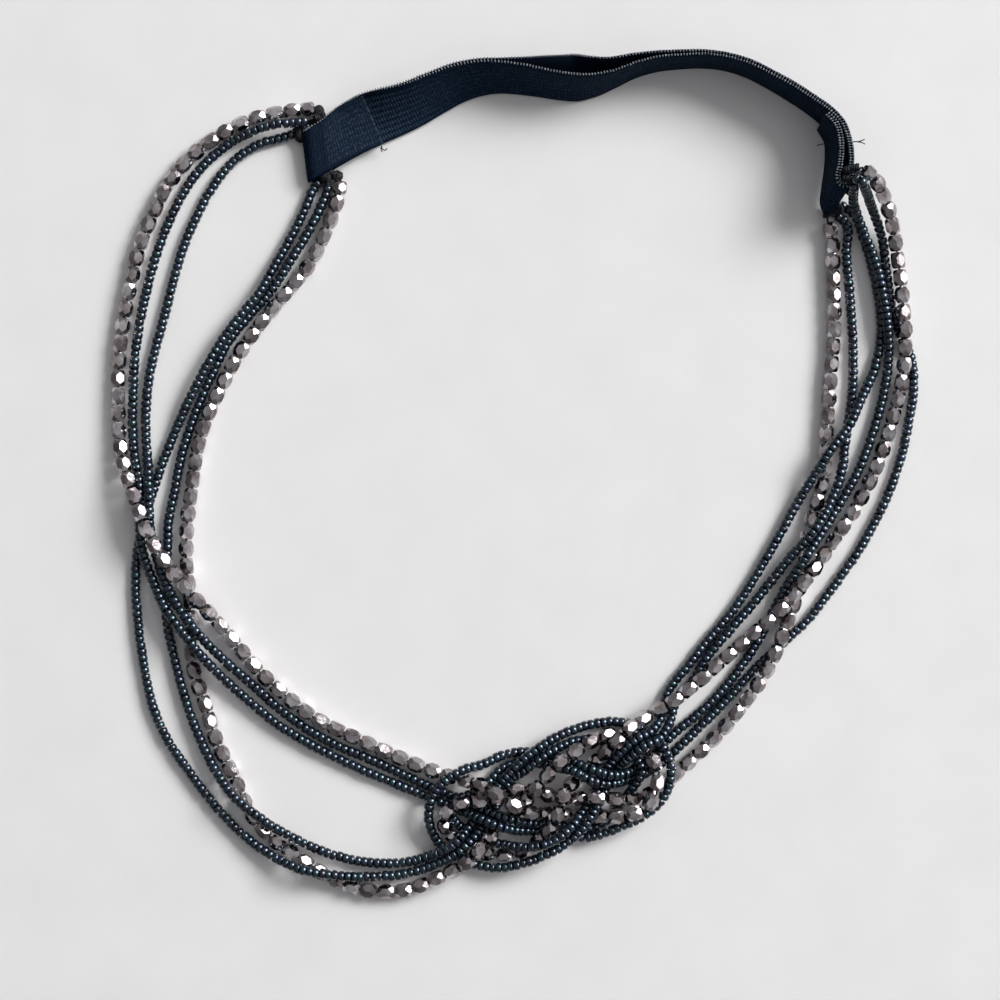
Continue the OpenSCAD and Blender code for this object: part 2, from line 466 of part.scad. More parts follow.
// The doubled elastic as one solid: two layers from a fold along its inner edge, open along its selvedges
module elastic_band() {
    n = len(band_stations);
    ring_n = 8;
    rings = [for (s = band_stations)
        let (
            across = unit(s[1] + s[2] - 2 * s[0]), face = s[3] * doubled_t / 2, inner = s[3] * slit / 2,
            crease = across * doubled_t / 2
        )
        [s[1] + face, s[1] + inner, s[0] + 2 * crease, s[2] - inner, s[2] - face,
            s[0] - face + crease, s[0], s[0] + face + crease]];
    // Surfaces beside each other are split along the same diagonals, so that they stay apart where they twist
    walls = [for (k = [0 : n - 2], j = [0 : ring_n - 1])
        let (
            a = k * ring_n + j, b = k * ring_n + (j + 1) % ring_n, c = b + ring_n, d = a + ring_n,
            to_fold = j == 1 || j == 4, on_tab = k < left_tab_rows || k >= n - 1 - right_tab_rows
        )
        each to_fold != on_tab ? [[a, b, d], [b, c, d]] : [[a, b, c], [a, c, d]]];
    end_faces = [[0, 2, 1], [0, 7, 2], [2, 4, 3], [2, 5, 4], [2, 6, 5], [2, 7, 6]];
    far = (n - 1) * ring_n;
    caps = concat(end_faces, [for (f = end_faces) [far + f[2], far + f[1], far + f[0]]]);
    color("#15161a") polyhedron([for (ring = rings, p = ring) p + to_middle], concat(walls, caps));
}

module left_facet_beads() color("#77717a") facet_beads(0, 11);
module right_facet_beads() color("#77717a") facet_beads(1, 12);
module left_facet_thread() color("#1c1c20") tube(0, thread_r, thread_sides);
module right_facet_thread() color("#1c1c20") tube(1, thread_r, thread_sides);
module left_seed_outer() color("#1d2a35") tube(2, seed_r, tube_sides);
module left_seed_inner() color("#1d2a35") tube(3, seed_r, tube_sides);
module right_seed_outer() color("#1d2a35") tube(4, seed_r, tube_sides);
module right_seed_inner() color("#1d2a35") tube(5, seed_r, tube_sides);

elastic_band();
left_facet_beads();
left_facet_thread();
right_facet_beads();
right_facet_thread();
left_seed_outer();
left_seed_inner();
right_seed_outer();
right_seed_inner();
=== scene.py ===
"""Looks of the beaded headband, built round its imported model.

Lengths are in millimetres up to mesh_piece(), which turns them into metres.
"""

import math

import bpy
import numpy as np
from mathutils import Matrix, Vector


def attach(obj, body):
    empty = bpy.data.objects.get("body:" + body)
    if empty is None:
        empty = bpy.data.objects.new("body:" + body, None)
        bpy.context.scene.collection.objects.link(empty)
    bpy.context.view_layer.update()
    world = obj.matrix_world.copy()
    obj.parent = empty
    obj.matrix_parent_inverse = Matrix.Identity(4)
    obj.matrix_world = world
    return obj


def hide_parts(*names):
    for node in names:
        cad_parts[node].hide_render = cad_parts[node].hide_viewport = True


MM = 0.001
UP = np.array([0.0, 0.0, 1.0])

# The camera is straight above, at the height that shows the photographed stretch of the surface
CAMERA_XY = (-3.35, -4.82)
CAMERA_HEIGHT = 500.0
VIEW_WIDTH = 230.0
SENSOR_WIDTH = 36

# Seed beads
SEED_STRANDS = ("left_seed_outer", "left_seed_inner", "right_seed_outer", "right_seed_inner")
SEED_R = 1.17
SEED_HALF_LENGTH = 0.68
SEED_HOLE_R = 0.4
SEED_PITCH = 1.46
# Points round a bead and round its section, and the power that makes the section squarer than an ellipse
SEED_SIDES = 14
SECTION_SIDES = 9
SECTION_POWER = 0.62
# How far the beads go on along a bare thread, in bead lengths, in the left and in the right loop
SEED_REACH = {"left": 0.4, "right": 1.2}
# Unevenness: place along the thread as a share of the pitch, place beside it, tilt and size
PLACE_SPREAD = 0.05
BESIDE_SPREAD = 0.035
TILT_SPREAD = 0.11
SIZE_SPREAD = 0.025
SIZE_LIMITS = (0.88, 1.05)
# Share of the beads that are small ones, and their size
SMALL_SHARE = 0.06
SMALL_SIZE = 0.93

# Threads and packed tubes
THREAD_R = 0.2
# Radius at the ends of an open tube, as a share of the tube's own
TUBE_END = 0.15
# Samples of a packed tube's middle line for each of its rings, and for each ring of the thread drawn there
CURVE_STEPS = 16
THREAD_STEPS = 4
# The edges within a ring of a packed tube are shorter than this, and its other edges are longer
RING_EDGE = 0.95
# A ring thinner than this share of the widest one stands for bare thread
BARE_SHARE = 0.8
# A thread farther than this from every faceted bead is bare
BARE_FROM = 1.6

# The elastic, as it is in the part's source: doubled width, thickness of a layer, slit between the layers,
# and height of the pockets in the folded ends
ELASTIC_W = 12.0
LAYER_T = 0.6
SLIT = 0.1
DOUBLED_T = 2 * LAYER_T + SLIT
POCKET_H = 1.5
# Rows of the band under each tab, and steps of the turn between them
LEFT_TAB_ROWS = 3
RIGHT_TAB_ROWS = 6
TURN_STEPS = 4
# How much narrower the band is at its last row and at the one before
END_PINCH = (1.6, 0.5)
# Columns: lengthwise fold x, y and height, lean of the inner and of the outer layer, drag of the selvedges
BAND_ROWS = [
    (-42.8, 68.1, 0.0, 88, 88, 4.4), (-36.0, 72.0, 0.0, 86, 86, 2.0), (-30.0, 75.0, 0.0, 76, 76, 0.5),
    (-25.5, 77.0, 0.0, 60, 60, 0.0), (-20.5, 79.5, 0.0, 48, 48, 0.0), (-15.5, 82.5, 0.0, 40, 40, 0.0),
    (-11.0, 85.0, 0.0, 34, 34, 0.0), (-6.5, 86.5, 0.0, 29, 29, 0.0), (-2.5, 87.0, 0.0, 25, 26, 0.0),
    (2.0, 86.7, 0.0, 23, 29, 0.0), (6.0, 86.2, 0.0, 21, 34, 0.0), (10.5, 85.5, 0.0, 20, 40, 0.0),
    (15.0, 85.2, 0.0, 19, 43, 0.0), (19.0, 86.2, 0.0, 15, 37, 0.0), (23.5, 88.3, 0.0, 9, 22, 0.0),
    (28.5, 90.8, 0.0, 6, 12, 0.0), (33.5, 92.2, 0.0, 5, 7, 0.0), (38.5, 92.8, 0.0, 4, 5, 0.0),
    (43.5, 93.0, 0.0, 4, 4, 0.0), (48.5, 92.5, 0.0, 3, 3, 0.0), (53.5, 91.0, 0.0, 3, 3, 0.0),
    (58.5, 88.5, 0.0, 3, 3, 0.0), (63.5, 85.5, 0.0, 4, 4, 0.0), (68.0, 82.5, 0.0, 4, 4, -0.4),
    (71.5, 79.5, 0.0, 5, 5, -1.1), (73.5, 76.0, 0.4, 6, 6, -1.8), (74.0, 72.0, 1.2, 7, 7, -2.5),
    (74.0, 68.0, 1.8, 8, 8, -3.2), (73.7, 64.0, 2.4, 9, 9, -3.9), (73.5, 60.5, 2.8, 10, 10, -4.6),
]
# Shift that puts the middle of the whole headband over the frame's origin
TO_MIDDLE = np.array([-0.59, 1.85, 0.0])
# How far the folded left end reaches out over the threads, which it doesn't in the part's source
LEFT_SLEEVE = 2.6

# Knit: distance between ribs along the elastic, their relief, and samples for one rib
RIB_PITCH = 0.68
RIB_RELIEF = 0.13
RIB_SAMPLES = 4
# Rows of stitches from the fold to the selvedge, and lean of the ribs within a row
KNIT_ROWS = 8.5
RIB_LEAN = 0.35
# Powers that shape the ribs and the rows, and those that narrow them to their crowns, which get a painted
# sheen
RIB_POWER = 0.7
ROW_POWER = 0.5
RIB_CROWN = 5
ROW_CROWN = 3
# The rows end at the selvedge: where that starts, and over how much of the width they fade
SELVEDGE_FROM = 0.86
SELVEDGE_FADE = 0.08
# How far a layer's selvedge is rounded up, as a share of its thickness
SELVEDGE_RISE = 0.35
# Samples of a layer's outside, of the fold and of a layer's inside
WALL_STEPS = 29
FOLD_STEPS = 6
INSIDE_STEPS = 6

# How much of the painted sheen on the stitch crowns shows, most where the knit lies flat: distance from the
# left raw edge at which it has faded, over which it fades, and how much shows from there on
SHEEN_TO = 52.0
SHEEN_FADE = 22.0
SHEEN_LEAST = 0.18
# Length of the left tab, on which less of the painted sheen shows, and how much
TAB_LENGTH = 14.0
TAB_SHEEN = 0.3
# Stretch round the folded left end that gets no painted sheen and so is darker: painted shade, as that end
# lies in shadow
SHADED_TURN = (12.0, 22.0)
# Stretches at the left and right raw edges that are worn
LEFT_WORN = 9.0
RIGHT_WORN = 2.5
# Shades that the knit's colour ramp reads: plain knit, what the painted sheen on the stitch crowns and the
# wear add to it, the fold and the inside, darker as painted shade, the raw ends and their hairs
PLAIN_SHADE = 0.35
CROWN_SHEEN = 0.6
WORN_SHADE = 0.03
SHADOWED_FOLD_SHADE = 0.3
SHADOWED_INSIDE_SHADE = 0.2
END_SHADE = 0.8
HAIR_SHADE = 0.6
# Share of the noise that stands for fuzz in the same ramp
FUZZ_SHADE = 0.45

# Selvedge loops: radius of the yarn, half width and height of a loop, its rise over the selvedge, its
# shift along it, and the unevenness of its place
YARN_R = 0.15
LOOP_HALF_WIDTH = 0.24
LOOP_HEIGHT = 0.3
LOOP_RISE = 0.12
LOOP_SHIFT = 0.02
LOOP_SPREAD = 0.02

# Black thread wound round the bare threads beside the elastic: length, radius and pitch of the winding
WHIP_LENGTH = 3.4
WHIP_R = 0.62
WHIP_PITCH = 0.42
WHIP_THREAD_R = 0.24
# Radius of its core as a share of its own, samples of a turn, and samples of the winding for one of the core
WHIP_CORE = 0.9
WHIP_SAMPLES = 14
CORE_STEPS = 7
# How far it goes on over a faceted bead
WHIP_OVERLAP = 0.5
# Unevenness of its turns in radians, the range of waves in it, and the range of its swell at a few places
WHIP_WAVER = 0.9
WHIP_WAVES = (9, 15)
WHIP_SWELL = (0.72, 1.28)
SWELL_PLACES = 9

# Lumps of black thread where the strands are bound; the two at the folded left end, near x -43 and -41, also
# fill that end's shadow as painted shade. Columns: middle, half sizes and number of turns
LUMPS = [
    ((-48.9, 79.4, 1.7), (1.7, 2.3, 1.4), 26),
    ((-43.4, 69.4, 1.6), (1.6, 1.5, 1.3), 18),
    ((-44.9, 84.0, 2.0), (1.3, 1.6, 1.2), 14),
    ((-40.8, 69.5, 1.5), (1.4, 1.2, 1.1), 14),
    ((76.3, 66.2, 7.2), (1.7, 2.0, 2.2), 26),
    ((76.9, 68.9, 9.2), (1.3, 1.4, 1.5), 16),
    ((73.6, 61.6, 3.4), (1.5, 1.2, 1.6), 14),
]
# Range of a turn's place along its axis and of its size
TURN_TILT = (-0.35, 0.35)
TURN_SIZE = (0.75, 1.0)
TURN_SAMPLES = 19
# The body inside a lump: half length and radius as shares of the half sizes
BODY_LENGTH = 0.6
BODY_R = 0.8

# Routes of the cut thread ends, and their radius
TAILS = [
    [(75.2, 75.4, 12.6), (76.4, 75.5, 12.8), (77.5, 75.4, 12.9)],
    [(76.8, 75.4, 12.8), (77.7, 75.7, 13.0), (78.4, 76.0, 13.1)],
    [(76.8, 75.4, 12.8), (77.7, 75.3, 12.9), (78.5, 74.9, 12.9)],
    [(69.6, 75.4, 10.0), (68.7, 75.3, 10.2), (68.0, 74.9, 10.3)],
    [(-36.0, 86.6, 1.6), (-36.5, 87.3, 2.0), (-36.1, 87.8, 2.1), (-35.4, 87.5, 2.0)],
    [(-36.2, 86.4, 1.8), (-36.8, 86.9, 2.3), (-36.9, 87.5, 2.2)],
    [(-30.6, 76.2, 2.1), (-30.2, 75.5, 2.3), (-29.6, 75.3, 2.0), (-29.2, 75.8, 2.2)],
    [(-30.4, 76.4, 1.9), (-30.6, 75.6, 2.2), (-30.3, 74.9, 1.7)],
]
TAIL_R = 0.13

# Hairs of the left raw edge: number on each layer, radius, range of lengths, and depth of the root
HAIR_COUNT = 70
HAIR_R = 0.055
HAIR_LENGTH = (0.25, 0.75)
HAIR_DEPTH = 0.3
# Range of the root's place through the layer, spread of the lean up the edge and through it, and bend
HAIR_PLACE = (0.1, 0.62)
HAIR_LEAN_UP = 0.5
HAIR_LEAN_THROUGH = 0.3
HAIR_BEND = 0.08

# Half the side of the floor, and the place of the window, in metres
FLOOR_HALF = 3.0
WINDOW_AT = (2.64, 1.76, 2.16)
# Square lamps, all turned to the middle of the floor: place, side in metres, power in watts, colour, and
# whether they light dull surfaces too or only gleam in bright ones
LAMPS = {
    "window": (WINDOW_AT, 1.6, 173.0, (1.0, 0.995, 0.985), True),
    "gleam": (WINDOW_AT, 3.3, 140.0, (1.0, 1.0, 1.0), False),
    "glint": (WINDOW_AT, 1.2, 260.0, (1.0, 1.0, 1.0), False),
    "room": ((0, 0, 2.5), 6.0, 14.0, (0.97, 0.98, 1.0), False),
}
# Shades of the room from the side away from the window to the window's side
ROOM_SHADES = [
    (0.1, (0.12, 0.115, 0.12)), (0.45, (0.2, 0.195, 0.2)), (0.7, (0.3, 0.305, 0.315)),
    (1.0, (0.6, 0.6, 0.6)),
]

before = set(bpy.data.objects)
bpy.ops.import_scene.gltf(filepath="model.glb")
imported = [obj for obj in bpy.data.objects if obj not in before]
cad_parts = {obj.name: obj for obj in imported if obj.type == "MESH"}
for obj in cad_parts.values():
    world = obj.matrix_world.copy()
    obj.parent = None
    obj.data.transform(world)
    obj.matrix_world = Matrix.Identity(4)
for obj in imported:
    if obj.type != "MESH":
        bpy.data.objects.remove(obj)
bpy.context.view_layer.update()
rng = np.random.default_rng(7)


# Small helpers

def unit(v):
    return v / np.linalg.norm(v, axis=-1, keepdims=True)


def mesh_piece(name, points, faces, look, relief=None):
    """A smooth object from points and faces of one size, with a relief value for each point."""
    points = np.asarray(points, float) * MM
    faces = np.asarray(faces, int)
    mesh = bpy.data.meshes.new(name)
    mesh.vertices.add(len(points))
    mesh.vertices.foreach_set("co", points.ravel())
    mesh.loops.add(faces.size)
    mesh.loops.foreach_set("vertex_index", faces.ravel())
    mesh.polygons.add(len(faces))
    mesh.polygons.foreach_set("loop_start", np.arange(0, faces.size, faces.shape[1]))
    mesh.polygons.foreach_set("use_smooth", np.full(len(faces), True))
    mesh.update(calc_edges=True)
    if relief is not None:
        mesh.attributes.new("relief", "FLOAT", "POINT").data.foreach_set("value", np.asarray(relief, float))
    mesh.validate()
    mesh.materials.append(look)
    piece = bpy.data.objects.new(name, mesh)
    bpy.context.scene.collection.objects.link(piece)
    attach(piece, "root")
    return piece


def grid_faces(rows, columns, close_rows=False, close_columns=False):
    """Quads of a grid of points, row after row."""
    r = np.arange(rows if close_rows else rows - 1)[:, None]
    c = np.arange(columns if close_columns else columns - 1)[None, :]
    next_r, next_c = (r + 1) % rows, (c + 1) % columns
    corners = [r * columns + c, r * columns + next_c, next_r * columns + next_c, next_r * columns + c]
    return np.stack([np.broadcast_to(k, (len(r), c.shape[1])) for k in corners], -1).reshape(-1, 4)


def circles(side, up, sides):
    """A circle of radius 1 for each point of a path, from the path's side and up directions."""
    turn = np.arange(sides) * 2 * math.pi / sides
    return side[:, None] * np.cos(turn)[None, :, None] + up[:, None] * np.sin(turn)[None, :, None]


def sweep(path, radius, sides=6, side=None):
    """Points and quads of a tube along an open path, with narrow ends."""
    path = np.asarray(path, float)
    along = unit(np.gradient(path, axis=0))
    # The small share keeps this from failing where a path goes straight up
    side = unit(np.cross(along, UP + 0.01)) if side is None else side
    up = np.cross(side, along)
    ends = np.ones(len(path))
    ends[0] = ends[-1] = TUBE_END
    radii = np.broadcast_to(radius, len(path)) * ends
    points = path[:, None] + circles(side, up, sides) * radii[:, None, None]
    return points.reshape(-1, 3), grid_faces(len(path), sides, close_columns=True)


def closed_tube(curve, radius, sides=6):
    """Points and quads of a tube along a closed curve."""
    along = unit(np.roll(curve, -1, 0) - np.roll(curve, 1, 0))
    side = unit(np.cross(along, UP))
    up = np.cross(side, along)
    points = curve[:, None] + radius * circles(side, up, sides)
    return points.reshape(-1, 3), grid_faces(len(curve), sides, True, True)


def joined(parts):
    """One set of points and faces from several."""
    points, faces, start = [], [], 0
    for part_points, part_faces in parts:
        points.append(part_points)
        faces.append(part_faces + start)
        start += len(part_points)
    return np.vstack(points), np.vstack(faces)


def distances(path):
    """Distance along an open path at each of its points."""
    return np.concatenate([[0], np.cumsum(np.linalg.norm(np.diff(path, axis=0), axis=1))])


def cubic(start, end, start_slope, end_slope, t):
    """Smooth curve from start to end, where t goes from 0 to 1."""
    return (start * (2 * t**3 - 3 * t**2 + 1) + end * (3 * t**2 - 2 * t**3)
            + start_slope * (t**3 - 2 * t**2 + t) + end_slope * (t**3 - t**2))


def smooth_open(values, way, at_way):
    """Values along an uneven open path, smoothly between its points."""
    slope = np.gradient(values, way, axis=0)
    k = np.clip(np.searchsorted(way, at_way, side="right") - 1, 0, len(way) - 2)
    span = (way[k + 1] - way[k])[:, None]
    t = (at_way - way[k])[:, None] / span
    return cubic(values[k], values[k + 1], slope[k] * span, slope[k + 1] * span, t)


def smooth_closed(points):
    """A smooth closed curve through points of uneven spacing."""
    before, after = np.roll(points, 1, 0), np.roll(points, -1, 0)
    back = np.linalg.norm(points - before, axis=1)[:, None]
    ahead = np.linalg.norm(after - points, axis=1)[:, None]
    slope = ((points - before) / back * ahead + (after - points) / ahead * back) / (back + ahead)
    t = (np.arange(CURVE_STEPS) / CURVE_STEPS)[None, :, None]
    span = ahead[:, None]
    next_slope = np.roll(slope, -1, 0)
    curve = cubic(points[:, None], after[:, None], slope[:, None] * span, next_slope[:, None] * span, t)
    return curve.reshape(-1, 3)


# Materials

def new_material(name, color, roughness, metallic=0.0, **sockets):
    look = bpy.data.materials.new(name)
    look.use_nodes = True
    shader = look.node_tree.nodes["Principled BSDF"]
    shader.inputs["Base Color"].default_value = (*color, 1)
    shader.inputs["Roughness"].default_value = roughness
    shader.inputs["Metallic"].default_value = metallic
    for key, value in sockets.items():
        shader.inputs[key.replace("_", " ")].default_value = value
    return look


def add(look, kind, **values):
    """A new node, with values for its inputs or settings."""
    node = look.node_tree.nodes.new(kind)
    for key, value in values.items():
        if key in node.inputs:
            node.inputs[key].default_value = value
        else:
            setattr(node, key, value)
    return node


def link(look, source, out, node, into):
    look.node_tree.links.new(source.outputs[out], node.inputs[into])


def set_shades(node, shades):
    """Gives a colour ramp its places and colours."""
    elements = node.color_ramp.elements
    while len(elements) < len(shades):
        elements.new(0.5)
    for element, (place, color) in zip(elements, shades):
        element.position = place
        element.color = (*color, 1)


def color_by(look, source, out, shades):
    """Turns a node's value into the base colour."""
    node = add(look, "ShaderNodeValToRGB")
    set_shades(node, shades)
    link(look, source, out, node, "Fac")
    link(look, node, "Color", look.node_tree.nodes["Principled BSDF"], "Base Color")


def noise(look, scale, detail=2.0):
    """Noise by the place in the object."""
    place = add(look, "ShaderNodeTexCoord")
    node = add(look, "ShaderNodeTexNoise", Scale=scale, Detail=detail)
    link(look, place, "Object", node, "Vector")
    return node


def roughen(look, source, strength):
    """A fine bump, 0.2 mm deep at full strength."""
    node = add(look, "ShaderNodeBump", Strength=strength, Distance=0.2 * MM)
    link(look, source, "Fac", node, "Height")
    link(look, node, "Normal", look.node_tree.nodes["Principled BSDF"], "Normal")


def facet_material():
    look = new_material("gunmetal_facets", (0.38, 0.355, 0.365), 0.12, 1.0)
    color_by(look, noise(look, 260), "Fac", [
        (0.3, (0.2, 0.18, 0.195)), (0.42, (0.31, 0.265, 0.26)), (0.52, (0.38, 0.355, 0.37)),
        (0.7, (0.56, 0.53, 0.54))])
    roughen(look, noise(look, 900), 0.12)
    return look


def seed_material():
    """Dark metallic glass, each bead of a slightly different blue or green."""
    look = new_material("dark_iris_seeds", (0.006, 0.017, 0.034), 0.27, 0.65, Coat_Weight=1.0,
                        Coat_Roughness=0.14, Coat_IOR=1.5, Specular_IOR_Level=0.15)
    bead = add(look, "ShaderNodeNewGeometry")
    color_by(look, bead, "Random Per Island", [
        (0.0, (0.003, 0.0075, 0.02)), (0.3, (0.005, 0.015, 0.031)), (0.6, (0.005, 0.024, 0.036)),
        (0.85, (0.006, 0.014, 0.037)), (1.0, (0.005, 0.03, 0.036))])
    return look


def knit_material():
    """Blue-black knit with fuzz, paler at high relief values (painted sheen on stitch crowns, wear, raw
    ends) and darker at low ones (painted shade at the fold and inside).
    """
    look = new_material("black_knit", (0.012, 0.014, 0.022), 0.75, 0.0, Specular_IOR_Level=0.05)
    relief = add(look, "ShaderNodeAttribute", attribute_name="relief")
    fuzz = noise(look, 2200, 3)
    mixed = add(look, "ShaderNodeMath", operation="MULTIPLY_ADD")
    mixed.inputs[1].default_value = FUZZ_SHADE
    link(look, fuzz, "Fac", mixed, 0)
    link(look, relief, "Fac", mixed, 2)
    color_by(look, mixed, "Value", [
        (0.3, (0.0008, 0.004, 0.011)), (0.6, (0.0015, 0.0085, 0.0225)), (1.0, (0.06, 0.1, 0.15))])
    roughen(look, noise(look, 3500, 3), 0.4)
    return look


def loop_material():
    # Grey yarn whose pale flecks are painted glints on the loops
    look = new_material("glinting_selvedge_yarn", (0.1, 0.11, 0.13), 0.5, 0.0, Specular_IOR_Level=0.3)
    color_by(look, noise(look, 2500), "Fac", [(0.35, (0.04, 0.05, 0.065)), (0.65, (0.3, 0.33, 0.35))])
    return look


def thread_material():
    look = new_material("black_thread", (0.003, 0.004, 0.007), 0.6, 0.0, Specular_IOR_Level=0.2)
    color_by(look, noise(look, 4000), "Fac", [(0.3, (0.0015, 0.002, 0.004)), (0.7, (0.006, 0.008, 0.014))])
    return look


def floor_material():
    look = new_material("pale_surface", (0.8, 0.79, 0.8), 0.85, 0.0, Specular_IOR_Level=0.0)
    color_by(look, noise(look, 60, 4), "Fac", [(0.3, (0.79, 0.785, 0.79)), (0.7, (0.82, 0.815, 0.82))])
    return look


facets = facet_material()
seeds = seed_material()
knit = knit_material()
loops = loop_material()
thread = thread_material()


# Strands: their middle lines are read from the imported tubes

def welded(node):
    """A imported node's points, in millimetres, with doubles joined, and its edges."""
    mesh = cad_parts[node].data
    points = np.empty(len(mesh.vertices) * 3)
    mesh.vertices.foreach_get("co", points)
    points = points.reshape(-1, 3) / MM
    edges = np.empty(len(mesh.edges) * 2, int)
    mesh.edges.foreach_get("vertices", edges)
    microns = np.round(points * 1000).astype(int)
    _, first, index = np.unique(microns, axis=0, return_index=True, return_inverse=True)
    return points[first], np.unique(np.sort(index.ravel()[edges].reshape(-1, 2), axis=1), axis=0)


def rings_of(node):
    """Middles and radii of a tube's rings, in order along it."""
    points, edges = welded(node)
    length = np.linalg.norm(points[edges[:, 0]] - points[edges[:, 1]], axis=1)
    # Points that short edges join get the same number, which is the lowest one in their ring
    ring = np.arange(len(points))
    short = edges[(length < RING_EDGE) & (length > 0)]
    while True:
        low = np.minimum(ring[short[:, 0]], ring[short[:, 1]])
        before = ring.copy()
        np.minimum.at(ring, short[:, 0], low)
        np.minimum.at(ring, short[:, 1], low)
        if (ring == before).all():
            break
    names, number = np.unique(ring, return_inverse=True)
    size = np.bincount(number)
    middles = np.stack([np.bincount(number, points[:, k]) for k in range(3)], 1) / size[:, None]
    radii = np.bincount(number, np.linalg.norm(points - middles[number], axis=1)) / size
    beside = {k: set() for k in range(len(names))}
    for a, b in number[edges[length >= RING_EDGE]]:
        if a != b:
            beside[a].add(b)
            beside[b].add(a)
    order = [0]
    while True:
        ahead = [k for k in sorted(beside[order[-1]])
                 if k not in order[-2:] and (k != 0 or len(order) > 2)]
        if not ahead or ahead[0] == 0 or ahead[0] in order:
            break
        order.append(ahead[0])
    return middles[order], radii[order]


def strand_curve(node):
    """Radii of a tube's rings, its middle line, the distance at each point of it, and its length."""
    middles, radii = rings_of(node)
    curve = smooth_closed(middles)
    step = np.linalg.norm(np.roll(curve, -1, 0) - curve, axis=1)
    return radii, curve, np.concatenate([[0], np.cumsum(step)[:-1]]), step.sum()


def at(curve, way, distance, length):
    """Points of a closed curve at distances along it."""
    looped = np.vstack([curve, curve[:1]])
    looped_way = np.append(way, length)
    return np.stack([np.interp(distance % length, looped_way, looped[:, k]) for k in range(3)], 1)


def stretches(wanted, way, length):
    """Start and end distances of the stretches of a closed curve whose points are wanted."""
    n = len(wanted)
    found = []
    for first in range(n):
        if wanted[first] and not wanted[first - 1]:
            last = first
            while wanted[(last + 1) % n] and last - first < n:
                last += 1
            found.append((way[first], way[last % n] + (length if last >= n else 0)))
    return found


def reach_of(node):
    """How far the seed beads of a strand go on along its bare threads."""
    return SEED_PITCH * SEED_REACH[node.split("_")[0]]


def seed_ring():
    """Points and quads of one seed bead about the X axis: a rounded ring."""
    phi = np.arange(SECTION_SIDES) * 2 * math.pi / SECTION_SIDES
    middle_r, half = (SEED_R + SEED_HOLE_R) / 2, (SEED_R - SEED_HOLE_R) / 2
    r = middle_r + half * np.sign(np.cos(phi)) * np.abs(np.cos(phi)) ** SECTION_POWER
    x = SEED_HALF_LENGTH * np.sign(np.sin(phi)) * np.abs(np.sin(phi)) ** SECTION_POWER
    a = np.arange(SEED_SIDES) * 2 * math.pi / SEED_SIDES
    y, z = np.cos(a)[:, None] * r, np.sin(a)[:, None] * r
    points = np.stack([np.broadcast_to(x, y.shape), y, z], -1).reshape(-1, 3)
    return points, grid_faces(SEED_SIDES, SECTION_SIDES, True, True)


def seed_places(node):
    """Middles and directions of the seed beads on one tube, and the curve of its thread."""
    radii, curve, way, length = strand_curve(node)
    full = radii > BARE_SHARE * radii.max()
    reach = reach_of(node)
    places = []
    for begin, end in stretches(full, way[::CURVE_STEPS], length):
        begin, end = begin - reach, end + reach
        count = round((end - begin) / SEED_PITCH)
        pitch = (end - begin) / count
        uneven = rng.uniform(-PLACE_SPREAD, PLACE_SPREAD, count) * pitch
        places.append(begin + pitch * (np.arange(count) + 0.5) + uneven)
    places = np.concatenate(places)
    along = unit(at(curve, way, places + 0.5, length) - at(curve, way, places - 0.5, length))
    return at(curve, way, places, length), along, curve


def turned_to(along):
    """Rotations that turn X to each direction, with a random spin and a slight random tilt."""
    x = unit(along + rng.normal(0, TILT_SPREAD, along.shape))
    y = unit(np.cross(np.broadcast_to(UP, x.shape), x))
    z = np.cross(x, y)
    spin = rng.uniform(0, 2 * math.pi, len(x))[:, None]
    return np.stack([x, y * np.cos(spin) + z * np.sin(spin), z * np.cos(spin) - y * np.sin(spin)], -1)


def seed_strand(node):
    """A string of seed beads in place of a packed tube, and its thread."""
    middles, along, curve = seed_places(node)
    points, faces = seed_ring()
    n = len(middles)
    size = rng.normal(1, SIZE_SPREAD, (n, 1, 3))
    size = size * np.where(rng.random((n, 1, 1)) < SMALL_SHARE, SMALL_SIZE, 1.0)
    middles = middles + rng.normal(0, BESIDE_SPREAD, (n, 3))
    beads = np.einsum("nij,nkj->nki", turned_to(along), points[None] * np.clip(size, *SIZE_LIMITS))
    beads += middles[:, None]
    all_faces = (faces[None] + (np.arange(n) * len(points))[:, None, None]).reshape(-1, 4)
    piece = mesh_piece(node + "_seeds", beads.reshape(-1, 3), all_faces, seeds)
    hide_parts(node)
    tube, tube_faces = closed_tube(curve[::THREAD_STEPS], THREAD_R)
    mesh_piece(node + "_thread", tube, tube_faces, thread)


# The elastic: stations as in the part's source, then a fine knitted surface through them

def band_station(k):
    """Fold, tip of the inner layer, tip of the outer layer, side and direction of a row of the table."""
    rows = np.array(BAND_ROWS, float)
    last = len(rows) - 1
    x, y, z, lean_in, lean_out, drag = rows[k]
    lean_in, lean_out = math.radians(lean_in), math.radians(lean_out)
    step = rows[min(last, k + 1)] - rows[max(0, k - 1)]
    along = unit(np.array([step[0], step[1], 0.0]))
    out = np.array([-along[1], along[0], 0.0])
    from_end = min(k, last - k)
    width = ELASTIC_W - (END_PINCH[from_end] if from_end < len(END_PINCH) else 0)
    fold = np.array([x, y, z + DOUBLED_T / 2 * math.sin(lean_out)])
    side = UP * math.sin(lean_in) - out * math.cos(lean_in)

    def tip(lean):
        return fold + width * (out * math.sin(lean) + UP * math.cos(lean)) + along * drag

    return [fold, tip(lean_in), tip(lean_out), side, along]


def moved(station, by, side):
    """A station that is shifted and has another side."""
    fold, tip_in, tip_out, _, along = station
    return [fold + by, tip_in + by, tip_out + by, side, along]


def end_turn(station, way, sleeve=0.0):
    """Stations of the turn at an end of the band, out along way, and farther out by a sleeve."""
    half = (DOUBLED_T + POCKET_H) / 2
    side = station[3]
    turned = []
    for k in range(1, TURN_STEPS):
        a = math.pi * k / TURN_STEPS
        by = side * half * (1 - math.cos(a)) + way * (half * math.sin(a) + sleeve * math.sin(a) ** 0.5)
        turned.append(moved(station, by, side * math.cos(a) - way * math.sin(a)))
    return turned


